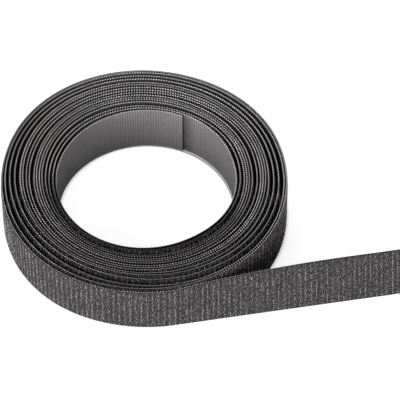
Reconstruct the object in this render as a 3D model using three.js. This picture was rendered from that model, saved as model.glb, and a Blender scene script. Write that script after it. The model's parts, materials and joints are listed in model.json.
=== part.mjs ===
// Hook and loop tape roll.
//
// One strip of back-to-back tape, wound on itself without a core and standing
// on its edge, with its outer end drawn off as a free tail. The strip is a
// laminate of two layers: the hook layer faces the bore, the loop layer faces
// outward. Where the strip bends freely it is divided into short bodies, which
// meet at hinge lines.
//
// Units are millimetres, +Z is up and z = 0 is the surface that the edge
// stands on. The path is laid out about the bore's axis. At the end the whole
// part is moved so that its origin is the middle of its own outline in plan.

import * as THREE from 'three';

// Tape

const tapeWidth = 20;
const hookThickness = 0.19;
const bondThickness = 0.03;
const loopThickness = 0.22;
const edgeUnevenness = 0.25;
const slowWavesShare = 2.3;
const quickWavesShare = 5.9;
const quickWavesLead = 1;

// Winding, from the inner end outward, turning anticlockwise from above

const boreRadius = 32.56;
const innerEndAngle = 66;
const tailAngle = -80;
const fullTurns = 15;
const turnPitch = 0.92;
const stepAngle = 15;

// Pockets of air between a turn and the next one out, which open and close along the
// tape. Places and reaches are shares of a turn, counted from the inner end, and
// heights are shares of the turn pitch. A pocket before the inner end lies in the
// bore, where the innermost turn stands off the round.

const airPocketShares = [
  { place: -0.25, reach: 0.12, height: 0.98 },
  { place: 0.2, reach: 0.2, height: 0.9 },
  { place: 0.65, reach: 0.12, height: 0.35 },
  { place: 0.88, reach: 0.15, height: 1.0 },
  { place: 1.2, reach: 0.3, height: 0.63 },
  { place: 1.6, reach: 0.35, height: 1.63 },
  { place: 2.1, reach: 0.35, height: 1.2 },
  { place: 3.2, reach: 0.3, height: 0.67 },
  { place: 4.1, reach: 0.25, height: 0.15 },
  { place: 4.8, reach: 0.35, height: 0.18 },
  { place: 5.2, reach: 0.25, height: 0.28 },
  { place: 5.9, reach: 0.4, height: 1.07 },
  { place: 6.75, reach: 0.45, height: 0.37 },
  { place: 7.3, reach: 0.35, height: 0.9 },
  { place: 8.15, reach: 0.35, height: 0.37 },
  { place: 9.15, reach: 0.35, height: 0.82 },
  { place: 9.68, reach: 0.2, height: 0.84 },
  { place: 10.8, reach: 0.3, height: 1.05 },
  { place: 11.1, reach: 0.25, height: 0.89 },
  { place: 11.35, reach: 0.25, height: 1.16 },
  { place: 11.65, reach: 0.25, height: 1.18 },
  { place: 11.95, reach: 0.3, height: 1.07 },
  { place: 12.3, reach: 0.3, height: 1.0 },
  { place: 12.57, reach: 0.27, height: 2.15 },
  { place: 12.85, reach: 0.3, height: 1.14 },
  { place: 13.2, reach: 0.3, height: 0.64 },
  { place: 13.45, reach: 0.2, height: 1.7 },
  { place: 14.45, reach: 0.2, height: 0.91 },
  { place: 14.62, reach: 0.12, height: 0.62 },
];

// Out of round

const ovalHeight = 0.42;
const ovalAngle = 74;

// Inner end

const innerFlapSteps = 2;

// Tail

const tailLength = 88;
const tailRootLength = 2;
const tailLean = 13.9;
const twistLength = 64;
const tailBodies = 4;
const stepsInTailBody = 4;

// Hinge lines

const hingeGap = 0.3;

// Finish

const hookLayerMaterial = new THREE.MeshStandardMaterial({
  color: 0x5a595c,
  roughness: 0.55,
  metalness: 0,
});
const loopLayerMaterial = new THREE.MeshStandardMaterial({
  color: 0x39383b,
  roughness: 0.95,
  metalness: 0,
});

// Worked out from the sizes above

const fullTurnAngle = 360;
const tapeThickness = hookThickness + bondThickness + loopThickness;
const loopFaceStart = hookThickness + bondThickness;
const wholeTurnsAngle = fullTurns * fullTurnAngle;
const windingAngle = tailAngle - innerEndAngle + fullTurnAngle + wholeTurnsAngle;
const hingeHalfGap = hingeGap / 2;

const { degToRad: radians, radToDeg: degrees, clamp } = THREE.MathUtils;

// Height of the air between a turn and the next one out: each pocket swells as a raised cosine.
function airOver(turn) {
  const heightShares = airPocketShares.map((pocket) => {
    const awayShare = Math.min(Math.abs(turn - pocket.place) / pocket.reach, 1);
    return (pocket.height * (1 + Math.cos(Math.PI * awayShare))) / 2;
  });
  return turnPitch * heightShares.reduce((sum, share) => sum + share, 0);
}

// Air in all the pockets under a turn.
function airUnder(turn) {
  return turn < 0 ? 0 : airOver(turn - 1) + airUnder(turn - 1);
}

// Radius of the hook face at an angle counted on from the inner end.
function hookFaceRadius(woundAngle) {
  const turn = woundAngle / fullTurnAngle;
  const ovalTurn = radians(innerEndAngle + woundAngle - ovalAngle);
  const oval = ovalHeight * Math.cos(2 * ovalTurn);
  return boreRadius + turnPitch * turn + oval + airUnder(turn);
}

// The turns stand a little unevenly: how far the upper edge is above or below the tape's width.
function edgeRise(woundAngle) {
  const turn = woundAngle / fullTurnAngle;
  const slowShare = Math.sin(turn * slowWavesShare);
  const quickShare = Math.sin(turn * quickWavesShare + quickWavesLead);
  return (edgeUnevenness * (slowShare + quickShare)) / 2;
}

// A station is one cross-section of the tape: the lower corner of its hook face,
// the outward direction in plan, how far its top leans inward, and its height.
function woundStation(woundAngle) {
  const angle = radians(innerEndAngle + woundAngle);
  const radius = hookFaceRadius(woundAngle);
  const outward = new THREE.Vector3(Math.cos(angle), Math.sin(angle), 0);
  return {
    foot: outward.clone().multiplyScalar(radius),
    outward,
    lean: 0,
    height: tapeWidth + edgeRise(woundAngle),
  };
}

const leavingStation = woundStation(windingAngle);
const tailOutward = leavingStation.outward;
const tailDirection = new THREE.Vector3(-tailOutward.y, tailOutward.x, 0);
const leavingRise = edgeRise(windingAngle);

// The tail twists soonest next to the roll, and no more past the twist's length.
function tailStation(distance) {
  const wayShare = clamp((distance - tailRootLength) / twistLength, 0, 1);
  const twistShare = 1 - (1 - wayShare) ** 2;
  return {
    foot: leavingStation.foot.clone().addScaledVector(tailDirection, distance),
    outward: tailOutward,
    lean: radians(tailLean) * twistShare,
    height: tapeWidth + leavingRise * (1 - twistShare),
  };
}

function faceNormal(station) {
  const level = station.outward.clone().multiplyScalar(Math.cos(station.lean));
  return level.setZ(Math.sin(station.lean));
}

function widthDirection(station) {
  const level = station.outward.clone().multiplyScalar(-Math.sin(station.lean));
  return level.setZ(Math.cos(station.lean));
}

// A point of the cross-section, at a depth from the hook face and a height along the width.
function sectionPoint(station, depth, height) {
  return station.foot
    .clone()
    .addScaledVector(faceNormal(station), depth)
    .addScaledVector(widthDirection(station), height);
}

// One layer of the tape along a run of stations, closed at both ends.
function layerGeometry(stations, innerDepth, outerDepth) {
  const positions = [];
  for (const station of stations) {
    const corners = [
      sectionPoint(station, innerDepth, 0),
      sectionPoint(station, outerDepth, 0),
      sectionPoint(station, outerDepth, station.height),
      sectionPoint(station, innerDepth, station.height),
    ];
    corners.forEach((corner) => positions.push(corner.x, corner.y, corner.z));
  }
  const cornerCount = 4;
  const indices = [0, 1, 2, 0, 2, 3];
  for (let step = 0; step + 1 < stations.length; step += 1) {
    for (let side = 0; side < cornerCount; side += 1) {
      const near = step * cornerCount + side;
      const nearNext = step * cornerCount + ((side + 1) % cornerCount);
      const far = near + cornerCount;
      const farNext = nearNext + cornerCount;
      // Both layers split the quads of their shared face along the same diagonal.
      if (side === 1) {
        indices.push(near, far, nearNext, nearNext, far, farNext);
      } else {
        indices.push(near, farNext, nearNext, near, far, farNext);
      }
    }
  }
  const last = (stations.length - 1) * cornerCount;
  indices.push(last, last + 2, last + 1, last, last + 3, last + 2);
  const geometry = new THREE.BufferGeometry();
  geometry.setAttribute('position', new THREE.Float32BufferAttribute(positions, 3));
  geometry.setIndex(indices);
  geometry.computeVertexNormals();
  return geometry;
}

// Evenly spaced values from start to end, both included.
function spaced(start, end, steps) {
  return Array.from({ length: steps + 1 }, (_, step) => start + ((end - start) * step) / steps);
}

// Stations of the inner end, which is free up to its hinge line

const innerHingeAngle = innerFlapSteps * stepAngle;
const innerHalfGapAngle = degrees(hingeHalfGap / boreRadius);
const innerEndStations = spaced(0, innerHingeAngle - innerHalfGapAngle, innerFlapSteps).map(
  woundStation,
);

// Stations of the winding: every turn's stations lie on the same rays, so its
// straight steps run parallel to those of the next turn.

const windingAngles = [innerHingeAngle + innerHalfGapAngle];
for (let angle = innerHingeAngle + stepAngle; angle < windingAngle; angle += stepAngle) {
  windingAngles.push(angle);
}
const windingStations = windingAngles.map(woundStation);
windingStations.push(leavingStation, tailStation(tailRootLength - hingeHalfGap));

// Stations of the tail's bodies

const tailBodyLength = (tailLength - tailRootLength) / tailBodies;

function tailHingeDistance(index) {
  return tailRootLength + index * tailBodyLength;
}

function tailBodyStations(index) {
  const start = tailHingeDistance(index) + hingeHalfGap;
  const isLast = index === tailBodies - 1;
  const end = tailHingeDistance(index + 1) - (isLast ? 0 : hingeHalfGap);
  return spaced(start, end, stepsInTailBody).map(tailStation);
}

// The part

const tape = new THREE.Group();

function addTape(name, stations) {
  const hookLayer = new THREE.Mesh(layerGeometry(stations, 0, hookThickness), hookLayerMaterial);
  hookLayer.name = `${name}_hook_layer`;
  const loopLayer = new THREE.Mesh(
    layerGeometry(stations, loopFaceStart, tapeThickness),
    loopLayerMaterial,
  );
  loopLayer.name = `${name}_loop_layer`;
  tape.add(hookLayer, loopLayer);
}

addTape('winding', windingStations);
addTape('inner_end', innerEndStations);
for (let index = 0; index < tailBodies; index += 1) {
  addTape(`tail_${index + 1}`, tailBodyStations(index));
}

// Least gap of the winding to itself, measured from points on the loop face of
// one turn to the straight steps of the hook face of the next turn out.

function pointsOnLoopFace(near, far) {
  const points = [];
  for (const share of [0, 1 / 4, 1 / 2, 3 / 4]) {
    const low = sectionPoint(near, tapeThickness, 0);
    low.lerp(sectionPoint(far, tapeThickness, 0), share);
    const high = sectionPoint(near, tapeThickness, near.height);
    high.lerp(sectionPoint(far, tapeThickness, far.height), share);
    points.push(low, high);
  }
  return points;
}

function distanceToHookFace(point, near, far) {
  const edges = [
    new THREE.Line3(sectionPoint(near, 0, 0), sectionPoint(far, 0, 0)),
    new THREE.Line3(sectionPoint(near, 0, near.height), sectionPoint(far, 0, far.height)),
  ];
  const nearest = new THREE.Vector3();
  const distances = edges.map((edge) => {
    edge.closestPointToPoint(point, true, nearest);
    return nearest.distanceTo(point);
  });
  return Math.min(...distances);
}

function leastGap(stations) {
  const stepsInTurn = Math.round(fullTurnAngle / stepAngle);
  const searchSteps = 3;
  let least = Infinity;
  for (let index = 0; index + 1 < stations.length; index += 1) {
    const points = pointsOnLoopFace(stations[index], stations[index + 1]);
    const first = index + stepsInTurn - searchSteps;
    const last = Math.min(index + stepsInTurn + searchSteps, stations.length - 2);
    for (let other = first; other <= last; other += 1) {
      for (const point of points) {
        const gap = distanceToHookFace(point, stations[other], stations[other + 1]);
        least = Math.min(least, gap);
      }
    }
  }
  return least;
}

const wholeStrip = [...innerEndStations, ...windingStations, ...tailBodyStations(0)];
console.log(`Least gap between turns: ${leastGap(wholeStrip).toFixed(3)} mm`);

// The origin goes to the middle of the part's outline in plan

const outline = new THREE.Box3().setFromObject(tape);
const middle = outline.getCenter(new THREE.Vector3());
const part = new THREE.Group();
tape.position.set(-middle.x, -middle.y, 0);
part.add(tape);

export default part;
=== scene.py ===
import json
import math
from collections import namedtuple

import bpy
import numpy as np
from bpy.props import FloatProperty, FloatVectorProperty, PointerProperty
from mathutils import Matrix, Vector


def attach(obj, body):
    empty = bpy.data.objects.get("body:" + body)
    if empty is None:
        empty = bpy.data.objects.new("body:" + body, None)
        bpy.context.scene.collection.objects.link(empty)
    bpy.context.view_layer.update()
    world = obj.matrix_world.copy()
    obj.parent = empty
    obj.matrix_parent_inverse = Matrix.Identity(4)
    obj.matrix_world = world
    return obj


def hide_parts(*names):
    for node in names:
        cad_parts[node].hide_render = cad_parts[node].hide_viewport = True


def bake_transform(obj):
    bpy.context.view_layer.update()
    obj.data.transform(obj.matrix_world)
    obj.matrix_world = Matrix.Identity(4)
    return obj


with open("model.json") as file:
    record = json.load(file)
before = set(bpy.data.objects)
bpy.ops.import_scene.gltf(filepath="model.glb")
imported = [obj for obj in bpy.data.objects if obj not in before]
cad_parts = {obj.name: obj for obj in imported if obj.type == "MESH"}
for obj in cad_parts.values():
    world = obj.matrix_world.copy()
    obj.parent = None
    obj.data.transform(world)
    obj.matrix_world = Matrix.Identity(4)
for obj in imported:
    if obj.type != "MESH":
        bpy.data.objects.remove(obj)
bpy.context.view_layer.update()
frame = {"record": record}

bl_info = {
    "name": "Hook and loop tape roll",
    "version": (1, 0, 0),
    "blender": (4, 5, 0),
    "location": "View3D > Sidebar > Tape roll",
    "description": "Dresses a coreless roll of back-to-back hook and loop tape",
    "category": "Object",
}

# Sizes are in metres and angles in degrees, as the frame has them.

# The tape's layers, from the hook face outward

TAPE_WIDTH = 0.02
HOOK_FILM = 0.00019
GLUE_FILM = 0.00003
LOOP_GROUND = 0.00022
LOOP_FACE = HOOK_FILM + GLUE_FILM + LOOP_GROUND
EDGE_UNEVENNESS = 0.00025
EDGE_WAVES = ((2.3, 0), (5.9, 1))

# The winding, anticlockwise from the inner end

FULL_TURN = 360
BORE_RADIUS = 0.03256
INNER_END_ANGLE = 66
TAIL_ANGLE = -80
FULL_TURNS = 15
TURN_PITCH = 0.00092
WINDING_ANGLE = TAIL_ANGLE - INNER_END_ANGLE + FULL_TURN + FULL_TURNS * FULL_TURN
OUTER_TURN_START = WINDING_ANGLE - FULL_TURN

# Pockets of air between a turn and the next one out: place and reach as shares of a turn,
# counted from the inner end, and height as a share of the turn pitch

AIR_POCKET_SHARES = (
    (-0.25, 0.12, 0.98),
    (0.2, 0.2, 0.9),
    (0.65, 0.12, 0.35),
    (0.88, 0.15, 1.0),
    (1.2, 0.3, 0.63),
    (1.6, 0.35, 1.63),
    (2.1, 0.35, 1.2),
    (3.2, 0.3, 0.67),
    (4.1, 0.25, 0.15),
    (4.8, 0.35, 0.18),
    (5.2, 0.25, 0.28),
    (5.9, 0.4, 1.07),
    (6.75, 0.45, 0.37),
    (7.3, 0.35, 0.9),
    (8.15, 0.35, 0.37),
    (9.15, 0.35, 0.82),
    (9.68, 0.2, 0.84),
    (10.8, 0.3, 1.05),
    (11.1, 0.25, 0.89),
    (11.35, 0.25, 1.16),
    (11.65, 0.25, 1.18),
    (11.95, 0.3, 1.07),
    (12.3, 0.3, 1.0),
    (12.57, 0.27, 2.15),
    (12.85, 0.3, 1.14),
    (13.2, 0.3, 0.64),
    (13.45, 0.2, 1.7),
    (14.45, 0.2, 0.91),
    (14.62, 0.12, 0.62),
)

# Out of round

OVAL_HEIGHT = 0.00042
OVAL_ANGLE = 74

# The inner end and the tail

INNER_HINGE_ANGLE = 30
INNER_BEND_START = 8
INNER_SECTION_ANGLE = 45
BEND_LEAD = 0.003
TAIL_LENGTH = 0.088
TAIL_ROOT = 0.002
TAIL_LEAN = 13.9
TWIST_LENGTH = 0.064
TAIL_BODIES = 4
TAIL_BODY = (TAIL_LENGTH - TAIL_ROOT) / TAIL_BODIES

# Steps of the route, of the strips along it, and of the search for open pockets

ROUTE_STEP_ANGLE = 0.5
ROUTE_STEP = 0.0005
STRIP_STEP = 0.0015
POCKET_STEP_ANGLE = 1.0

# Small shapes, and where they stand

SEED = 7
MERGE_DISTANCE = 1e-7
UNIT_SIDES = 3
UNIT_STEPS = 3
HOOK_CURL = 200
SEAL_SLANT = 35
STRIP_SHARP_ANGLE = 60
MOST_COPIES = 9000
RIB_SHARES = (1, 0.5, 0.3, 0.45)
LEAST_RIB = 0.3
LOOP_MARGIN = 0.0002
HOOK_MARGIN = 0.0005
SEAL_MARGIN_SHARE = 0.33
OPEN_AIR = 0.00035
INNER_LOOP_REACH = 0.0032

# Unevenness of the small shapes: the spread of a normal draw, or the least and most of an even one.
# Places and heights are shares of the shape's spacing, width or height, turns are in radians, and a
# slant is a slope.

COLUMN_HEIGHTS = (0.82, 1.18)
LOOP_SPREAD_ALONG = 0.08
LOOP_SPREAD_ACROSS = 0.12
LOOP_TURN_SPREAD = 0.25
LOOP_SLANT_SPREAD = 0.3
LOOP_HEIGHTS = (0.75, 1)
HOOK_TURN_SPREAD = 0.1
HOOK_SLANT_SPREAD = 0.08
HOOK_HEIGHTS = (0.85, 1)
SEAL_PLACES = (-0.05, 0.05)
SEAL_SLANT_SPREAD = 0.1
SEAL_HEIGHTS = (0.85, 1.05)

# Shades, from 0 for the darkest to 1 for the lightest. A packed share is the painted shade of a face between
# turns, which scales it down to that share there, and a shape is the two values of a beta draw.

LOOP_SHADE_SHAPE = (1.0, 1.7)
GROOVE_SHADE = 0.3
SEAL_SHADES = (0.7, 1)
PACKED_FILM_SHADE = 0.35
PACKED_GROUND_SHADE = 0.12
PACKED_LOOPS_SHADE = 0.65
FADE_LENGTH = 0.006
STREAK_LENGTH = 0.025
STREAK_SHAPE = (0.6, 1.0)
STREAK_DIMMING = 0.8

# Edges with painted shade, darker on the inner turns along the front of the bore: angles and turns counted
# on from the inner end

SHADED_EDGE_FROM = (100, 135)
SHADED_EDGE_TO = (255, 290)
SHADED_EDGE_TURNS = (1, 7)
SHADED_EDGE_SHARE = 0.85

# Textures

GRAINS_IN_CLOUD = 24.0
LINE_BUMP = 0.00004
LINE_BUMP_STRENGTH = 0.6
RIB_BUMP = 0.00012

# The stage: places of the lamps are from the point that the camera looks at

FLOOR_SIZE = 8
FLOOR_REACH = 0.0015
FLOOR_SAMPLES = 16
CLIP_NEAR = 0.05
CLIP_FAR = 20
SIDE_LAMP_SIZE = 0.9
TOP_LAMP_SIZE = 1.1
KEY_LAMP_PLACE = (-0.9, -0.75, 0.5)
FILL_LAMP_PLACE = (0.55, -1.0, 0.35)
TOP_LAMP_PLACE = (0.0, 0.25, 1.2)


def smooth_share(value, start, end):
    """0 before start and 1 after end, with a smooth rise between them."""
    share = np.clip((value - start) / (end - start), 0, 1)
    return share * share * (3 - 2 * share)


def air_over(turn):
    """Height of the air between a turn and the next one out: each pocket swells as a raised cosine."""
    shares = 0
    for place, reach, height in AIR_POCKET_SHARES:
        away = np.minimum(np.abs(turn - place) / reach, 1)
        shares = shares + height * (1 + np.cos(np.pi * away)) / 2
    return TURN_PITCH * shares


def air_under(turn):
    """Air in all the pockets under a turn."""
    lifts = [np.where(turn > lower - 1, air_over(turn - lower), 0) for lower in range(1, FULL_TURNS + 2)]
    return sum(lifts)


def hook_face_radius(wound):
    """Radius of the hook face at an angle counted on from the inner end."""
    turn = wound / FULL_TURN
    oval = OVAL_HEIGHT * np.cos(2 * np.radians(INNER_END_ANGLE + wound - OVAL_ANGLE))
    return BORE_RADIUS + TURN_PITCH * turn + oval + air_under(turn)


def edge_rise(wound):
    """How far a turn's upper edge stands above or below the tape's width."""
    waves = [np.sin(wound / FULL_TURN * rate + phase) for rate, phase in EDGE_WAVES]
    return EDGE_UNEVENNESS * sum(waves) / len(waves)


class Route:
    """The lower edge of the hook face, by distance along the tape from its inner end."""

    def __init__(self):
        low, high = np.array(frame["record"]["physics"]["openings"][0]["box_m"])
        self.axis = ((low + high) / 2)[:2]
        wound = np.linspace(0, WINDING_ANGLE, round(WINDING_ANGLE / ROUTE_STEP_ANGLE) + 1)
        angles = np.radians(INNER_END_ANGLE + wound)
        spokes = np.stack([np.cos(angles), np.sin(angles)], axis=1)
        turns = self.axis + spokes * hook_face_radius(wound)[:, None]
        tail = np.linspace(0, TAIL_LENGTH, round(TAIL_LENGTH / ROUTE_STEP) + 1)[1:]
        along = np.array([-spokes[-1, 1], spokes[-1, 0]])
        foot = np.concatenate([turns, turns[-1] + along * tail[:, None]])
        steps = np.linalg.norm(np.diff(foot, axis=0), axis=1)
        self.distance = np.concatenate([[0], np.cumsum(steps)])
        self.wound = wound
        self.leaving = self.distance[len(wound) - 1]
        self.end = self.distance[-1]
        tangent = np.gradient(foot, self.distance, axis=0)
        tangent /= np.linalg.norm(tangent, axis=1)[:, None]
        way = np.clip((tail - TAIL_ROOT) / TWIST_LENGTH, 0, 1)
        twist = 1 - (1 - way) ** 2
        rise = np.concatenate([edge_rise(wound), edge_rise(wound[-1]) * (1 - twist)])
        lean = np.concatenate([wound * 0, np.radians(TAIL_LEAN) * twist])
        self.rows = np.column_stack([foot, tangent[:, 1], -tangent[:, 0], lean, 1 + rise / TAPE_WIDTH])

    def at_wound(self, angle):
        return float(np.interp(angle, self.wound, self.distance[: len(self.wound)]))

    def at_tail(self, distance):
        return float(self.leaving + distance)

    def place(self, distance, depth, rise):
        """Points at a depth from the hook face and a rise along the width, in the row frame."""
        x, y, out_x, out_y, lean, stretch = (
            np.interp(distance, self.distance, column) for column in self.rows.T
        )
        height = rise * stretch
        level = depth * np.cos(lean) - height * np.sin(lean)
        upward = depth * np.sin(lean) + height * np.cos(lean)
        return np.stack([x + level * out_x, y + level * out_y, upward], axis=-1)


route = Route()

# Each section of the tape is a set of pieces that ride together on one body, or that lie between two bodies.

Section = namedtuple("Section", "name start end bodies bend node")


def tape_sections():
    """The sections in order, from the inner end to the tail's far end."""
    # Where a strip leaves the roll, nearly all of its bend is on its moving side. A bend centred on the
    # hinge would swing the roll's side of the strip into the turn beside it.
    inner_bend = (route.at_wound(INNER_BEND_START), route.at_wound(INNER_HINGE_ANGLE) + BEND_LEAD)
    inner_stop = route.at_wound(INNER_SECTION_ANGLE)
    hinge = route.at_tail(TAIL_ROOT)
    middles = [route.at_tail(TAIL_ROOT + TAIL_BODY * (body + 1 / 2)) for body in range(TAIL_BODIES)]
    root_start = 2 * hinge - middles[0]
    root_bend = (hinge - BEND_LEAD, middles[0])
    sections = [
        Section("inner_end", 0, inner_stop, ("inner_end", "roll"), inner_bend, "inner_end"),
        Section("winding", inner_stop, root_start, ("roll",), None, "winding"),
        Section("tail_root", root_start, middles[0], ("roll", "tail_1"), root_bend, "tail_1"),
    ]
    names = ("tail_near", "tail_middle", "tail_far")
    for body, name in enumerate(names, start=1):
        start, end = middles[body - 1], middles[body]
        last = body == TAIL_BODIES - 1
        bodies = (f"tail_{body}", f"tail_{body + 1}")
        sections.append(
            Section(name, start, route.end if last else end, bodies, (start, end), f"tail_{body + 1}")
        )
    return sections


def carry(piece, section):
    """The piece rides on the section's body; a piece between two bodies only has its transform applied."""
    if section.bend is None:
        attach(piece, section.bodies[0])
        return
    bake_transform(piece)


def hook_side_open(distance):
    """1 where the hook face lies open, in the bore and on the tail, and 0 between turns, where the film gets
    painted shade.
    """
    bore_end = route.at_wound(FULL_TURN)
    in_bore = 1 - smooth_share(distance, bore_end - FADE_LENGTH, bore_end)
    return np.maximum(in_bore, smooth_share(distance, route.leaving, route.leaving + FADE_LENGTH))


def loop_side_open(distance):
    """1 where the loop face lies open, on the outer turn and the tail, and 0 between turns, where the ground
    and loops get painted shade.
    """
    outer = route.at_wound(OUTER_TURN_START)
    return smooth_share(distance, outer - FADE_LENGTH, outer)


# The film's bare edge shows on some stretches of the tape, and melted yarn ends cover it on others.

streak_ends = np.arange(0, route.end + STREAK_LENGTH, STREAK_LENGTH)
streak_shares = np.random.default_rng(SEED + 3).beta(*STREAK_SHAPE, len(streak_ends))


def bare_share(distance):
    return np.interp(distance, streak_ends, streak_shares)


def edge_shade_factor(distance):
    """1, but less on the inner turns along the front of the bore, where the edges get painted shade."""
    wound = np.interp(distance, route.distance[: len(route.wound)], route.wound)
    angle = wound % FULL_TURN
    along = smooth_share(angle, *SHADED_EDGE_FROM) - smooth_share(angle, *SHADED_EDGE_TO)
    deep = 1 - smooth_share(wound / FULL_TURN, *SHADED_EDGE_TURNS)
    return 1 - SHADED_EDGE_SHARE * along * deep


# Mesh making

BAKE_MAP = "OFBake"
BAKE_LEAST_SIDE = 0.0006
BAKE_MARGIN = 0.002
BAKE_CELL_REACH = 0.45
TAPE_MAP = "Tape"
SHADE = "shade"
# The bare attribute is a stretch's random bareness times the edges' painted shade.
BARE_AND_EDGE_SHADE = "bare"


def set_map(mesh, name, corners):
    layer = mesh.uv_layers.new(name=name)
    layer.data.foreach_set("uv", np.asarray(corners, dtype=np.float32).ravel())


def set_shares(mesh, name, shares):
    attribute = mesh.attributes.new(name, "FLOAT", "POINT")
    attribute.data.foreach_set("value", np.asarray(shares, dtype=np.float32))


def new_piece(name, points, faces, materials):
    mesh = bpy.data.meshes.new(name)
    mesh.from_pydata(points.tolist(), [], faces)
    for material in materials:
        mesh.materials.append(material)
    mesh.shade_smooth()
    piece = bpy.data.objects.new(name, mesh)
    bpy.context.collection.objects.link(piece)
    return piece


def rounded_profile(inner, outer, low, high, bevel):
    """Corners of a strip's cross-section as (depth, rise), in the order that faces its sides outward."""
    return [
        (inner + bevel, low),
        (outer - bevel, low),
        (outer, low + bevel),
        (outer, high - bevel),
        (outer - bevel, high),
        (inner + bevel, high),
        (inner, high - bevel),
        (inner, low + bevel),
    ]


FACE_SIDES = (2, 6)


def bake_rows(distances, sides, ends):
    """Corners in the bake map of a strip's quads, laid in rows one above the other, then of its two ends."""
    widths = np.maximum(sides, BAKE_LEAST_SIDE)
    row_height = widths.sum() + BAKE_MARGIN
    length = distances[-1] - distances[0]
    rows = max(1, round(math.sqrt(length / row_height)))
    steps = len(distances) - 1
    steps_in_row = math.ceil(steps / rows)
    step_length = length / steps
    size = max(rows * row_height, steps_in_row * step_length + 2 * BAKE_MARGIN + 4 * BAKE_LEAST_SIDE)
    edges = np.concatenate([[0], np.cumsum(widths)])
    corners = []
    for step in range(steps):
        row, place = divmod(step, steps_in_row)
        near, far = place * step_length, (place + 1) * step_length
        base = row * row_height
        for low, high in zip(edges[:-1], edges[1:]):
            corners += [(near, base + low), (far, base + low), (far, base + high), (near, base + high)]
    right = steps_in_row * step_length + BAKE_MARGIN
    spans = np.ptp(ends, axis=0)
    for row in (0, rows - 1):
        base = row * row_height
        shares = (ends - ends.min(axis=0)) / spans
        shift = right + (BAKE_LEAST_SIDE * 2 if row == 0 else 0)
        cell = shares * (BAKE_LEAST_SIDE, row_height - BAKE_MARGIN) + (shift, base)
        corners += [tuple(corner) for corner in (cell if row == 0 else cell[::-1])]
    return np.array(corners) / size


def strip(name, section, profile, open_share, materials):
    """A closed strip of one cross-section along a section of the tape. All but its two faces is rim."""
    count = math.ceil((section.end - section.start) / STRIP_STEP) + 1
    distances = np.linspace(section.start, section.end, count)
    profile = np.array(profile)
    sides = len(profile)
    points = route.place(
        np.repeat(distances, sides), np.tile(profile[:, 0], count), np.tile(profile[:, 1], count)
    )
    order = np.arange(sides)
    beside = (order + 1) % sides
    near = (np.arange(count - 1) * sides)[:, None]
    quads = np.stack([near + order, near + sides + order, near + sides + beside, near + beside], axis=-1)
    first = list(range(sides))
    last = [(count - 1) * sides + corner for corner in reversed(first)]
    piece = new_piece(name, points, [*quads.reshape(-1, 4).tolist(), first, last], materials)
    rim = np.ones(sides, dtype=np.int32)
    rim[list(FACE_SIDES)] = 0
    piece.data.polygons.foreach_set("material_index", [*np.tile(rim, count - 1).tolist(), 1, 1])
    lengths = np.linalg.norm(np.roll(profile, -1, axis=0) - profile, axis=1)
    around = np.concatenate([[0], np.cumsum(lengths)])
    tape = []
    for start, end in zip(distances[:-1], distances[1:]):
        for low, high in zip(around[:-1], around[1:]):
            tape += [(start, low), (end, low), (end, high), (start, high)]
    tape += [(section.start, height) for height in around[:-1]]
    tape += [(section.end, height) for height in around[:-1][::-1]]
    set_map(piece.data, TAPE_MAP, tape)
    set_map(piece.data, BAKE_MAP, bake_rows(distances, lengths, profile))
    # The shade attribute carries painted shade: 1 where the face lies open, less between the turns.
    set_shares(piece.data, SHADE, np.repeat(open_share(distances), sides))
    # Painted shade: the bare share is dimmed on the inner turns along the front of the bore.
    set_shares(piece.data, BARE_AND_EDGE_SHADE, np.repeat(bare_share(distances) * edge_shade_factor(distances), sides))
    piece.data.set_sharp_from_angle(angle=math.radians(STRIP_SHARP_ANGLE))
    return piece


# One yarn loop, one micro-hook and one sealed yarn end are modelled at the origin, and copied.
# Such a unit has x along the tape, y across it and z out of the face that it stands on.

Unit = namedtuple("Unit", "points faces")
Spots = namedtuple("Spots", "distance rise depth turn slant height shade facing")


def start_unit(radius, location):
    bpy.ops.object.select_all(action="DESELECT")
    bpy.ops.mesh.primitive_circle_add(
        vertices=UNIT_SIDES, radius=radius, fill_type="NGON", location=location
    )
    bpy.ops.object.mode_set(mode="EDIT")
    bpy.ops.mesh.select_all(action="SELECT")


def finish_unit():
    """Closes the edited shape, removes its object and gives its points and faces."""
    bpy.ops.mesh.select_all(action="SELECT")
    bpy.ops.mesh.remove_doubles(threshold=MERGE_DISTANCE)
    bpy.ops.mesh.normals_make_consistent(inside=False)
    bpy.ops.object.mode_set(mode="OBJECT")
    shape = bpy.context.active_object
    points = np.array([shape.matrix_world @ vertex.co for vertex in shape.data.vertices])
    faces = [tuple(face.vertices) for face in shape.data.polygons]
    bpy.data.objects.remove(shape)
    return Unit(points, faces)


def yarn_loop(sizes):
    """An arch of yarn across the tape, with both feet in the ground."""
    start_unit(sizes.yarn_width / 2, (0, -sizes.loop_span / 2, 0))
    bpy.ops.mesh.spin(steps=UNIT_STEPS, angle=math.pi, center=(0, 0, 0), axis=(1, 0, 0))
    bpy.ops.mesh.select_all(action="SELECT")
    tall = 2 * sizes.loop_height / (sizes.loop_span + sizes.yarn_width)
    bpy.ops.transform.resize(value=(1, 1, tall), center_override=(0, 0, 0))
    return finish_unit()


def micro_hook(sizes):
    """A moulded stem whose head curls over along the tape."""
    reach = sizes.hook_height / 2
    start_unit(sizes.hook_stem / 2, (0, 0, 0))
    bpy.ops.mesh.extrude_region_move(TRANSFORM_OT_translate={"value": (0, 0, reach)})
    curl, centre = math.radians(HOOK_CURL), (reach, 0, reach)
    bpy.ops.mesh.spin(steps=UNIT_STEPS, angle=curl, center=centre, axis=(0, 1, 0))
    return finish_unit()


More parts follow.
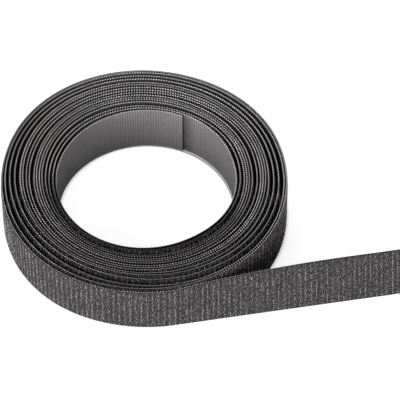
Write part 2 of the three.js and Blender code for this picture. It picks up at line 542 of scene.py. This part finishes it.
def sealed_end(sizes):
    """A melted yarn end: a bead that lies slantwise over the cut edge."""
    bpy.ops.object.select_all(action="DESELECT")
    bpy.ops.mesh.primitive_ico_sphere_add(subdivisions=1, radius=sizes.seal_width / 2)
    bpy.ops.object.mode_set(mode="EDIT")
    bpy.ops.mesh.select_all(action="SELECT")
    bpy.ops.transform.resize(value=(1, 1, sizes.seal_length / sizes.seal_width))
    slant = math.radians(SEAL_SLANT)
    bpy.ops.transform.rotate(value=slant, orient_axis="Y", center_override=(0, 0, 0))
    return finish_unit()


def unit_cells(unit, count):
    """Corners in the bake map: each face of each copy has a small cell of its own."""
    in_unit = len(unit.faces)
    columns = math.ceil(math.sqrt(count * in_unit))
    places = np.arange(count * in_unit).reshape(count, in_unit)
    cells = []
    for index, face in enumerate(unit.faces):
        turn = np.arange(len(face)) * 2 * math.pi / len(face)
        shape = 0.5 + BAKE_CELL_REACH * np.stack([np.cos(turn), np.sin(turn)], axis=1)
        origin = np.stack([places[:, index] % columns, places[:, index] // columns], axis=1)
        cells.append(origin[:, None] + shape)
    return np.concatenate(cells, axis=1).reshape(-1, 2) / columns


def copies(name, unit, spots, material):
    """One mesh of many copies of a unit, each at its own spot on the tape."""
    count, in_unit = len(spots.distance), len(unit.points)
    along, across, out = unit.points.T
    cos, sin = np.cos(spots.turn)[:, None], np.sin(spots.turn)[:, None]
    along, across = along * cos - across * sin, along * sin + across * cos
    out = out * spots.height[:, None]
    along = along + out * spots.slant[:, None]
    distance = spots.distance[:, None] + along
    rise = spots.rise[:, None] + across * spots.facing
    depth = spots.depth + out * spots.facing
    points = route.place(distance.ravel(), depth.ravel(), rise.ravel())
    starts = np.arange(count)[:, None] * in_unit
    by_face = [(starts + np.array(face)).tolist() for face in unit.faces]
    faces = [face for copy in zip(*by_face) for face in copy]
    piece = new_piece(name, points, faces, [material])
    set_shares(piece.data, SHADE, np.repeat(spots.shade, in_unit))
    set_map(piece.data, BAKE_MAP, unit_cells(unit, count))
    return piece


def columns_in(stretches, spacing):
    """Numbers of the columns in stretches of the tape, counted on from the inner end."""
    lots_of_columns = [
        np.arange(math.ceil(start / spacing), math.ceil(end / spacing)) for start, end in stretches
    ]
    return np.concatenate(lots_of_columns or [np.arange(0)])


def grid(stretches, low, high, spacing, row_spacing):
    """Spots in staggered columns across stretches of the tape: their columns, distances and rises."""
    columns = columns_in(stretches, spacing)
    count = round((high - low) / row_spacing - 0.5)
    column, row = (axis.ravel() for axis in np.meshgrid(columns, np.arange(count), indexing="ij"))
    rise = low + (row + 0.5 + (column % 2) / 2) * (high - low) / (count + 0.5)
    return column, column * spacing, rise


def lots(spots):
    """The spots in lots of like size, so that no piece grows too large."""
    count = len(spots.distance)
    for part in np.array_split(np.arange(count), math.ceil(count / MOST_COPIES)):
        yield Spots(*(values[part] if np.ndim(values) else values for values in spots))


def overlap(section, stretches):
    """The parts of stretches of the tape, as (start, end), that lie in a section."""
    shared = [(max(section.start, start), min(section.end, end)) for start, end in stretches]
    return [(start, end) for start, end in shared if start < end]


# Nodes


def add(tree, kind, settings=None, inputs=None):
    node = tree.nodes.new(kind)
    for name, value in (settings or {}).items():
        setattr(node, name, value)
    for name, value in (inputs or {}).items():
        node.inputs[name].default_value = value
    return node


def maths(tree, operation, first, second=None):
    """A Math node. Each value is a number or a socket."""
    node = tree.nodes.new("ShaderNodeMath")
    node.operation = operation
    for socket, value in zip(node.inputs, (first, second)):
        if isinstance(value, bpy.types.NodeSocket):
            tree.links.new(value, socket)
        elif value is not None:
            socket.default_value = value
    return node.outputs[0]


def new_group(name, inputs, outputs):
    tree = bpy.data.node_groups.new(name, "ShaderNodeTree")
    for label, kind, default in inputs:
        socket = tree.interface.new_socket(label, in_out="INPUT", socket_type=kind)
        if default is not None:
            socket.default_value = default
    for label, kind in outputs:
        tree.interface.new_socket(label, in_out="OUTPUT", socket_type=kind)
    return tree, tree.nodes.new("NodeGroupInput").outputs, tree.nodes.new("NodeGroupOutput").inputs


def handling_marks_group():
    """Slow light and dark clouds over the surface, with a finer grain in them."""
    tree, given, result = new_group(
        "Handling marks",
        [("Cloud Size", "NodeSocketFloat", 0.02), ("Strength", "NodeSocketFloat", 0.2)],
        [("Lightness", "NodeSocketFloat")],
    )
    place = tree.nodes.new("ShaderNodeTexCoord").outputs["Object"]
    clouds = add(tree, "ShaderNodeTexNoise", inputs={"Detail": 3.0, "Roughness": 0.6})
    grain = add(tree, "ShaderNodeTexNoise", inputs={"Detail": 2.0, "Roughness": 0.7})
    scale = maths(tree, "DIVIDE", 1.0, given["Cloud Size"])
    tree.links.new(place, clouds.inputs["Vector"])
    tree.links.new(place, grain.inputs["Vector"])
    tree.links.new(scale, clouds.inputs["Scale"])
    tree.links.new(maths(tree, "MULTIPLY", scale, GRAINS_IN_CLOUD), grain.inputs["Scale"])
    both = maths(tree, "ADD", clouds.outputs[0], grain.outputs[0])
    swing = maths(tree, "MULTIPLY", maths(tree, "SUBTRACT", both, 1.0), given["Strength"])
    tree.links.new(maths(tree, "ADD", swing, 1.0), result["Lightness"])
    return tree


def cross_lines_group():
    """Fine lines across the tape, a rounded rise at each, by distance along the tape."""
    tree, given, result = new_group(
        "Cross lines",
        [("Tape", "NodeSocketVector", None), ("Spacing", "NodeSocketFloat", 0.001)],
        [("Rise", "NodeSocketFloat")],
    )
    parts = tree.nodes.new("ShaderNodeSeparateXYZ")
    tree.links.new(given["Tape"], parts.inputs[0])
    turns = maths(tree, "DIVIDE", parts.outputs["X"], given["Spacing"])
    wave = maths(tree, "COSINE", maths(tree, "MULTIPLY", turns, 2 * math.pi))
    half = maths(tree, "MULTIPLY", wave, 0.5)
    tree.links.new(maths(tree, "ADD", half, 0.5), result["Rise"])
    return tree


class Finish:
    """One material, with the shared groups placed in it."""

    def __init__(self, name, roughness, **constants):
        self.material = bpy.data.materials.new(name)
        self.material.use_nodes = True
        self.tree = self.material.node_tree
        self.shader = self.tree.nodes["Principled BSDF"]
        self.shader.inputs["Roughness"].default_value = roughness
        for label, value in constants.items():
            self.shader.inputs[label.replace("_", " ")].default_value = value

    def link(self, source, label):
        self.tree.links.new(source, self.shader.inputs[label])

    def place_group(self, name, **inputs):
        node = self.tree.nodes.new("ShaderNodeGroup")
        node.node_tree = bpy.data.node_groups[name]
        for label, value in inputs.items():
            node.inputs[label.replace("_", " ")].default_value = value
        return node

    def place_along(self, name, **inputs):
        """A group that works by distance along the tape. Gives its only output."""
        node = self.place_group(name, **inputs)
        tape = add(self.tree, "ShaderNodeUVMap", {"uv_map": TAPE_MAP})
        self.tree.links.new(tape.outputs[0], node.inputs["Tape"])
        return node.outputs[0]

    def mix(self, share, dark, light):
        node = add(self.tree, "ShaderNodeMix", {"data_type": "RGBA"})
        first, second = (socket for socket in node.inputs if socket.type == "RGBA")
        first.default_value = (*dark, 1)
        second.default_value = (*light, 1)
        self.tree.links.new(share, node.inputs["Factor"])
        return next(socket for socket in node.outputs if socket.type == "RGBA")

    def lit(self, colour, lightness):
        """The colour, made lighter or darker by a value about 1."""
        node = self.tree.nodes.new("ShaderNodeVectorMath")
        node.operation = "SCALE"
        self.tree.links.new(colour, node.inputs[0])
        self.tree.links.new(lightness, node.inputs["Scale"])
        return node.outputs[0]

    def share(self, name):
        return add(self.tree, "ShaderNodeAttribute", {"attribute_name": name}).outputs["Fac"]

    def packed_shade(self, marks, packed):
        """Lightness of a strip's face, with painted shade that falls to a packed share between the turns."""
        rise = maths(self.tree, "MULTIPLY", self.share(SHADE), 1 - packed)
        rise = maths(self.tree, "ADD", rise, packed)
        return maths(self.tree, "MULTIPLY", rise, marks.outputs["Lightness"])

    def bump(self, height, distance, strength=1.0):
        node = add(self.tree, "ShaderNodeBump", inputs={"Distance": distance, "Strength": strength})
        self.tree.links.new(height, node.inputs["Height"])
        self.link(node.outputs[0], "Normal")


def film_finish(sizes, colours):
    """Moulded film on the hook side: satin, with fine lines across the tape where the hooks stand, painted
    shade in the valleys between the lines, and painted shade between the turns.
    """
    finish = Finish("Hook film", roughness=0.45)
    marks = finish.place_group("Handling marks", Cloud_Size=0.025, Strength=0.18)
    lines = finish.place_along("Cross lines", Spacing=sizes.hook_spacing)
    colour = finish.mix(lines, colours.film_dark_and_valley_shade, colours.film)
    finish.link(finish.lit(colour, finish.packed_shade(marks, PACKED_FILM_SHADE)), "Base Color")
    finish.bump(lines, LINE_BUMP, LINE_BUMP_STRENGTH)
    return finish.material


def hook_finish(colours):
    """The micro-hooks, of the film's own plastic and a little shinier."""
    finish = Finish("Moulded hooks", roughness=0.4)
    colour = finish.mix(finish.share(SHADE), colours.film_dark_and_valley_shade, colours.film)
    finish.link(colour, "Base Color")
    return finish.material


def ground_finish(sizes, colours):
    """The knitted ground under the loops: dark and matt, in cross ribs, with painted shade between the ribs
    and between the turns.
    """
    finish = Finish("Knitted ground", roughness=0.95, Specular_IOR_Level=0.1)
    marks = finish.place_group("Handling marks", Cloud_Size=0.012, Strength=0.5)
    ribs = finish.place_along("Cross lines", Spacing=sizes.column_spacing)
    colour = finish.mix(ribs, colours.yarn_shadow, colours.yarn_dark)
    finish.link(finish.lit(colour, finish.packed_shade(marks, PACKED_GROUND_SHADE)), "Base Color")
    finish.bump(ribs, RIB_BUMP)
    return finish.material


def yarn_finish(colours):
    """The loops' textured yarn: each loop has its own shade between two greys."""
    finish = Finish("Loop yarn", roughness=0.8, Specular_IOR_Level=0.2)
    marks = finish.place_group("Handling marks", Cloud_Size=0.015, Strength=0.3)
    colour = finish.mix(finish.share(SHADE), colours.yarn_dark, colours.yarn_light)
    finish.link(finish.lit(colour, marks.outputs["Lightness"]), "Base Color")
    return finish.material


def seal_finish(colours):
    """The heat-cut edge, where yarn ends and film have melted into beads, whose pale colour is painted
    highlight.
    """
    finish = Finish("Sealed edge", roughness=0.5)
    marks = finish.place_group("Handling marks", Cloud_Size=0.012, Strength=0.6)
    colour = finish.mix(finish.share(SHADE), colours.seal_dark, colours.seal_highlight)
    finish.link(finish.lit(colour, marks.outputs["Lightness"]), "Base Color")
    return finish.material


def cut_finish(name, dark, light):
    """A layer's own cut edge, light where it's bare, and darker with painted shade on the inner turns along
    the front of the bore.
    """
    finish = Finish(name, roughness=0.6, Specular_IOR_Level=0.2)
    marks = finish.place_group("Handling marks", Cloud_Size=0.01, Strength=0.6)
    colour = finish.mix(finish.share(BARE_AND_EDGE_SHADE), dark, light)
    finish.link(finish.lit(colour, marks.outputs["Lightness"]), "Base Color")
    return finish.material


def length(label, value, description):
    units = {"precision": 5, "subtype": "DISTANCE", "unit": "LENGTH"}
    return FloatProperty(name=label, description=description, default=value, min=0, **units)


def colour(label, value, description):
    return FloatVectorProperty(
        name=label, description=description, default=value, size=3, min=0, max=1, subtype="COLOR"
    )


class TapeSizes(bpy.types.PropertyGroup):
    """Sizes of the tape's fine surface."""

    edge_bevel: length("Edge bevel", 0.00006, "Rounding of the layers' cut edges")
    film_margin: length("Film margin", 0.00014, "From the knitted edge back to the film's edge")
    loop_height: length("Loop height", 0.00042, "How far the tallest loops stand out of the ground")
    loop_span: length("Loop span", 0.00045, "Distance between a loop's two feet")
    yarn_width: length("Yarn width", 0.00022, "Width of the loops' yarn")
    column_spacing: length("Column spacing", 0.0005, "Distance between columns of loops along the tape")
    row_spacing: length("Row spacing", 0.0007, "Distance between loops in a column")
    hook_height: length("Hook height", 0.00028, "How far the micro-hooks stand out of the film")
    hook_stem: length("Hook stem", 0.00013, "Width of a micro-hook's stem")
    hook_spacing: length("Hook spacing", 0.00097, "Distance between columns of hooks along the tape")
    hook_row_spacing: length("Hook row spacing", 0.00055, "Distance between hooks in a column")
    seal_spacing: length("Seal spacing", 0.00098, "Distance between the sealed yarn ends along an edge")
    seal_length: length("Seal length", 0.0007, "Length of a sealed yarn end over the edge")
    seal_width: length("Seal width", 0.00044, "Width of a sealed yarn end")
    seal_depth: length("Seal depth", 0.00016, "From the hook face to the middle of a sealed yarn end")


class TapeColours(bpy.types.PropertyGroup):
    """Colours of the tape's finishes."""

    film: colour("Film", (0.18, 0.173, 0.177), "Moulded film, on the raised lines")
    # The film valley colour is painted shade between the raised lines; the micro-hooks also take it as their
    # darkest random tone.
    film_dark_and_valley_shade: colour("Film valley", (0.082, 0.078, 0.081), "Moulded film between the lines")
    film_edge: colour("Light film edge", (0.55, 0.53, 0.54), "The palest parts of the film's cut edge")
    film_dull: colour("Dull film edge", (0.015, 0.014, 0.015), "The darkest parts of the film's cut edge")
    yarn_light: colour("Light yarn", (0.52, 0.5, 0.51), "The lightest loops")
    yarn_dark: colour("Dark yarn", (0.05, 0.047, 0.048), "The darkest loops, and the ground's ribs")
    # Deep yarn is painted shade on the ground between its ribs, and also the darkest parts of the ground's
    # cut edge.
    yarn_shadow: colour("Deep yarn", (0.006, 0.005, 0.005), "The ground between its ribs")
    yarn_edge: colour("Yarn edge", (0.01, 0.009, 0.009), "The lightest parts of the ground's cut edge")
    # The palest beads are painted highlight: pale colour for the light caught by the melted beads.
    seal_highlight: colour("Light edge", (0.9, 0.87, 0.88), "The palest sealed yarn ends")
    seal_dark: colour("Dark edge", (0.03, 0.028, 0.029), "The darkest sealed yarn ends")


class StageSettings(bpy.types.PropertyGroup):
    """The camera, the lamps and the floor."""

    elevation: FloatProperty(
        name="Elevation",
        description="Angle of the camera above the floor",
        default=math.radians(49.656),
        subtype="ANGLE",
        unit="ROTATION",
    )
    distance: length("Distance", 1.0485, "From the camera to the point that it looks at")
    target_right: length("Target right", 0.02014, "Point looked at, right of the bore's axis")
    target_back: length("Target back", 0.00589, "Point looked at, behind the bore's axis")
    lens: FloatProperty(name="Lens", description="Focal length in millimetres", default=252.4, min=1)
    floor: colour("Floor", (0.6, 0.6, 0.6), "Floor and background")
    floor_glow: FloatProperty(name="Floor glow", description="White added for the camera", default=0.8)
    ambient: FloatProperty(name="Ambient", description="Strength of the light from all round", default=0.15)
    key: FloatProperty(name="Key", description="Power of the lamp at the front left", default=23)
    fill: FloatProperty(name="Fill", description="Power of the low lamp in front", default=12)
    top: FloatProperty(name="Top", description="Power of the lamp overhead", default=3)


class TapePiecesOperator:
    """What the operators of the tape have in common."""

    bl_options = {"REGISTER", "UNDO"}

    def execute(self, context):
        self.make(context.scene.tape_sizes, context.scene.tape_colours)
        return {"FINISHED"}


def open_pockets():
    """Stretches of the tape, short of its outer turn, whose loop face can be seen in a pocket of air."""
    wound = np.arange(0, OUTER_TURN_START, POCKET_STEP_ANGLE)
    is_open = np.concatenate([[False], air_over(wound / FULL_TURN) > OPEN_AIR, [False]])
    starts, ends = (np.flatnonzero(np.diff(is_open.astype(int)) == change) for change in (1, -1))
    return [(route.at_wound(float(start)), route.at_wound(float(end))) for start, end in zip(starts, ends)]


def covered_stretches():
    """Where the loops can be seen: all of the outer turn and tail, and the tops of turns at pockets.
    Each is a name, stretches of the tape, and the least rise of the loops."""
    outer = route.at_wound(OUTER_TURN_START)
    return [
        ("outer_loops", [(outer, route.end)], LOOP_MARGIN),
        ("inner_loops", open_pockets(), TAPE_WIDTH - INNER_LOOP_REACH),
    ]


class LoopPile(TapePiecesOperator, bpy.types.Operator):
    """Stands yarn loops on the knitted ground, in cross ribs"""

    bl_idname = "tape_roll.loop_pile"
    bl_label = "Loop pile"

    def make(self, sizes, colours):
        unit, material = yarn_loop(sizes), yarn_finish(colours)
        draws = np.random.default_rng(SEED)
        for kind, stretches, low in covered_stretches():
            for section in tape_sections():
                column, distance, rise = grid(
                    overlap(section, stretches),
                    low,
                    TAPE_WIDTH - LOOP_MARGIN,
                    sizes.column_spacing,
                    sizes.row_spacing,
                )
                count = len(column)
                if not count:
                    continue
                # A column's rib share sets the height of its loops and also darkens the loops of the low
                # columns: painted shade in the grooves between the ribs.
                rib = np.array(RIB_SHARES)[column % len(RIB_SHARES)]
                rib = rib * draws.uniform(*COLUMN_HEIGHTS, column.max() + 1)[column]
                # Loops deep in the pockets between turns get painted shade, down to a packed share.
                open_share = PACKED_LOOPS_SHADE + (1 - PACKED_LOOPS_SHADE) * loop_side_open(distance)
                spots = Spots(
                    distance=distance + draws.normal(0, LOOP_SPREAD_ALONG, count) * sizes.column_spacing,
                    rise=rise + draws.normal(0, LOOP_SPREAD_ACROSS, count) * sizes.row_spacing,
                    depth=LOOP_FACE - sizes.yarn_width / 4,
                    turn=draws.normal(0, LOOP_TURN_SPREAD, count),
                    slant=draws.normal(0, LOOP_SLANT_SPREAD, count),
                    height=np.clip(rib, LEAST_RIB, 1) * draws.uniform(*LOOP_HEIGHTS, count),
                    shade=np.clip(
                        draws.beta(*LOOP_SHADE_SHAPE, count) * (GROOVE_SHADE + rib) * open_share, 0, 1
                    ),
                    facing=1,
                )
                for number, lot in enumerate(lots(spots), start=1):
                    piece = copies(f"{section.name}_{kind}_{number}", unit, lot, material)
                    carry(piece, section)


class MicroHooks(TapePiecesOperator, bpy.types.Operator):
    """Stands micro-hooks on the film, round the bore and on the tail's back"""

    bl_idname = "tape_roll.micro_hooks"
    bl_label = "Micro-hooks"

    def make(self, sizes, colours):
        unit, material = micro_hook(sizes), hook_finish(colours)
        draws = np.random.default_rng(SEED + 1)
        bore = (HOOK_MARGIN, route.at_wound(FULL_TURN + INNER_HINGE_ANGLE))
        tail = (route.leaving, route.end - HOOK_MARGIN)
        for section in tape_sections():
            _, distance, rise = grid(
                overlap(section, [bore, tail]),
                HOOK_MARGIN,
                TAPE_WIDTH - HOOK_MARGIN,
                sizes.hook_spacing,
                sizes.hook_row_spacing,
            )
            count = len(distance)
            if not count:
                continue
            facing_turn = math.pi * draws.integers(0, 2, count)
            spots = Spots(
                distance=distance,
                rise=rise,
                depth=sizes.hook_stem / 4,
                turn=facing_turn + draws.normal(0, HOOK_TURN_SPREAD, count),
                slant=draws.normal(0, HOOK_SLANT_SPREAD, count),
                height=draws.uniform(*HOOK_HEIGHTS, count),
                shade=draws.uniform(0, 1, count),
                facing=-1,
            )
            piece = copies(f"{section.name}_micro_hooks", unit, spots, material)
            carry(piece, section)


class SealedEdges(TapePiecesOperator, bpy.types.Operator):
    """Lays beads of melted yarn along both cut edges of the tape"""

    bl_idname = "tape_roll.sealed_edges"
    bl_label = "Sealed edges"

    def make(self, sizes, colours):
        unit, material = sealed_end(sizes), seal_finish(colours)
        draws = np.random.default_rng(SEED + 2)
        margin = sizes.seal_width * SEAL_MARGIN_SHARE
        for edge, rise in (("lower", margin), ("upper", TAPE_WIDTH - margin)):
            for section in tape_sections():
                columns = columns_in([(section.start, section.end)], sizes.seal_spacing)
                count = len(columns)
                distance = columns * sizes.seal_spacing
                # Painted shade: beads on the inner turns along the front of the bore are darker.
                pale_and_edge_shade_share = (1 - STREAK_DIMMING * bare_share(distance)) * edge_shade_factor(distance)
                spots = Spots(
                    distance=distance,
                    rise=rise + draws.uniform(*SEAL_PLACES, count) * sizes.seal_width,
                    depth=sizes.seal_depth,
                    turn=np.zeros(count),
                    slant=draws.normal(0, SEAL_SLANT_SPREAD, count),
                    height=draws.uniform(*SEAL_HEIGHTS, count),
                    shade=pale_and_edge_shade_share * draws.uniform(*SEAL_SHADES, count),
                    facing=1,
                )
                piece = copies(f"{section.name}_{edge}_sealed_edge", unit, spots, material)
                carry(piece, section)


class LoopGrounds(TapePiecesOperator, bpy.types.Operator):
    """Makes the knitted ground layer along the whole tape"""

    bl_idname = "tape_roll.loop_grounds"
    bl_label = "Loop grounds"

    def make(self, sizes, colours):
        face = ground_finish(sizes, colours)
        rim = cut_finish("Knitted edge", colours.yarn_shadow, colours.yarn_edge)
        for section in tape_sections():
            profile = rounded_profile(HOOK_FILM + GLUE_FILM, LOOP_FACE, 0, TAPE_WIDTH, sizes.edge_bevel)
            piece = strip(f"{section.name}_loop_ground", section, profile, loop_side_open, [face, rim])
            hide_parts(f"{section.node}_loop_layer")
            carry(piece, section)


class HookFilms(TapePiecesOperator, bpy.types.Operator):
    """Makes the moulded film along the whole tape"""

    bl_idname = "tape_roll.hook_films"
    bl_label = "Hook films"

    def make(self, sizes, colours):
        face = film_finish(sizes, colours)
        rim = cut_finish("Film edge", colours.film_dull, colours.film_edge)
        for section in tape_sections():
            low, high = sizes.film_margin, TAPE_WIDTH - sizes.film_margin
            profile = rounded_profile(0, HOOK_FILM, low, high, sizes.edge_bevel)
            piece = strip(f"{section.name}_hook_film", section, profile, hook_side_open, [face, rim])
            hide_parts(f"{section.node}_hook_layer")
            carry(piece, section)


class TapeStage(bpy.types.Operator):
    """Sets the floor, the soft lamps and the camera at the photograph's viewing angle"""

    bl_idname = "tape_roll.stage"
    bl_label = "Stage"
    bl_options = {"REGISTER", "UNDO"}

    def execute(self, context):
        settings = context.scene.stage_settings
        x, y = route.axis
        target = np.array([x + settings.target_right, y + settings.target_back, 0])
        self.add_camera(context.scene, settings, target)
        self.add_lamps(settings, target)
        self.add_floor(settings)
        self.set_world(context.scene, settings)
        context.scene.view_settings.view_transform = "Standard"
        return {"FINISHED"}

    def add_camera(self, scene, settings, target):
        data = bpy.data.cameras.new("Camera")
        data.lens = settings.lens
        data.clip_start, data.clip_end = CLIP_NEAR, CLIP_FAR
        camera = bpy.data.objects.new("Camera", data)
        back, up = -math.cos(settings.elevation), math.sin(settings.elevation)
        camera.location = target + settings.distance * np.array([0, back, up])
        camera.rotation_euler = (math.pi / 2 - settings.elevation, 0, 0)
        scene.collection.objects.link(camera)
        scene.camera = camera

    def add_lamps(self, settings, target):
        lamps = (
            ("Key lamp", settings.key, SIDE_LAMP_SIZE, KEY_LAMP_PLACE),
            ("Fill lamp", settings.fill, SIDE_LAMP_SIZE, FILL_LAMP_PLACE),
            ("Top lamp", settings.top, TOP_LAMP_SIZE, TOP_LAMP_PLACE),
        )
        for name, power, size, offset in lamps:
            data = bpy.data.lights.new(name, "AREA")
            data.energy, data.size = power, size
            lamp = bpy.data.objects.new(name, data)
            lamp.location = target + np.array(offset)
            towards = -Vector(offset)
            lamp.rotation_euler = towards.to_track_quat("-Z", "Y").to_euler()
            bpy.context.scene.collection.objects.link(lamp)

    def add_floor(self, settings):
        bpy.ops.object.select_all(action="DESELECT")
        bpy.ops.mesh.primitive_plane_add(size=FLOOR_SIZE, location=(0, 0, 0))
        floor = bpy.context.active_object
        floor.name = "Floor"
        material = bpy.data.materials.new("Pale floor")
        material.use_nodes = True
        tree = material.node_tree
        tree.nodes.clear()
        matt = add(tree, "ShaderNodeBsdfDiffuse", inputs={"Color": (*settings.floor, 1)})
        glow = add(tree, "ShaderNodeEmission")
        both = tree.nodes.new("ShaderNodeAddShader")
        share = maths(tree, "MULTIPLY", self.seen_share(tree), self.floor_glow_unshaded_share(tree))
        tree.links.new(maths(tree, "MULTIPLY", share, settings.floor_glow), glow.inputs["Strength"])
        tree.links.new(matt.outputs[0], both.inputs[0])
        tree.links.new(glow.outputs[0], both.inputs[1])
        tree.links.new(both.outputs[0], tree.nodes.new("ShaderNodeOutputMaterial").inputs["Surface"])
        floor.data.materials.append(material)

    def seen_share(self, tree):
        """1 for rays that the camera sees by, 0 for light."""
        return tree.nodes.new("ShaderNodeLightPath").outputs["Is Camera Ray"]

    def floor_glow_unshaded_share(self, tree):
        """Painted shade on the floor's glow: 0 under the turns, where only a gap shows the floor, less than
        1 close to the tape, else 1.
        """
        inner, outer = BORE_RADIUS, hook_face_radius(OUTER_TURN_START)
        middle, reach = (inner + outer) / 2, (outer - inner) / 2
        place = tree.nodes.new("ShaderNodeNewGeometry").outputs["Position"]
        node = add(tree, "ShaderNodeVectorMath", {"operation": "DISTANCE"}, {1: (*route.axis, 0)})
        tree.links.new(place, node.inputs[0])
        away = maths(tree, "ABSOLUTE", maths(tree, "SUBTRACT", node.outputs["Value"], middle))
        near = add(
            tree, "ShaderNodeAmbientOcclusion", {"samples": FLOOR_SAMPLES}, {"Distance": FLOOR_REACH}
        )
        return maths(tree, "MULTIPLY", maths(tree, "GREATER_THAN", away, reach), near.outputs["AO"])

    def set_world(self, scene, settings):
        world = bpy.data.worlds.new("Studio")
        world.use_nodes = True
        tree = world.node_tree
        background = tree.nodes["Background"]
        background.inputs["Color"].default_value = (1, 1, 1, 1)
        seen = self.seen_share(tree)
        rest = maths(tree, "MULTIPLY", maths(tree, "SUBTRACT", 1.0, seen), settings.ambient)
        tree.links.new(maths(tree, "ADD", seen, rest), background.inputs["Strength"])
        scene.world = world


class TapePanel(bpy.types.Panel):
    """Lists the steps that make the tape roll"""

    bl_idname = "VIEW3D_PT_tape_roll"
    bl_label = "Tape roll"
    bl_space_type = "VIEW_3D"
    bl_region_type = "UI"
    bl_category = "Tape roll"

    def draw(self, context):
        for step in STEPS:
            self.layout.operator(step.bl_idname)
        for settings in (context.scene.tape_sizes, context.scene.tape_colours, context.scene.stage_settings):
            box = self.layout.box()
            for name in settings.bl_rna.properties.keys():
                if name not in ("rna_type", "name"):
                    box.prop(settings, name)


STEPS = (TapeStage, SealedEdges, LoopPile, MicroHooks, LoopGrounds, HookFilms)
SETTINGS = {"tape_sizes": TapeSizes, "tape_colours": TapeColours, "stage_settings": StageSettings}


def register():
    for kind in (*SETTINGS.values(), *STEPS, TapePanel):
        bpy.utils.register_class(kind)
    for name, kind in SETTINGS.items():
        setattr(bpy.types.Scene, name, PointerProperty(type=kind))


def unregister():
    for name in SETTINGS:
        delattr(bpy.types.Scene, name)
    for kind in reversed((*SETTINGS.values(), *STEPS, TapePanel)):
        bpy.utils.unregister_class(kind)


def main():
    register()
    handling_marks_group()
    cross_lines_group()
    bpy.ops.tape_roll.stage()
    bpy.ops.tape_roll.sealed_edges()
    bpy.ops.tape_roll.loop_pile()
    bpy.ops.tape_roll.micro_hooks()
    bpy.ops.tape_roll.loop_grounds()
    bpy.ops.tape_roll.hook_films()


if __name__ == "__main__":
    main()
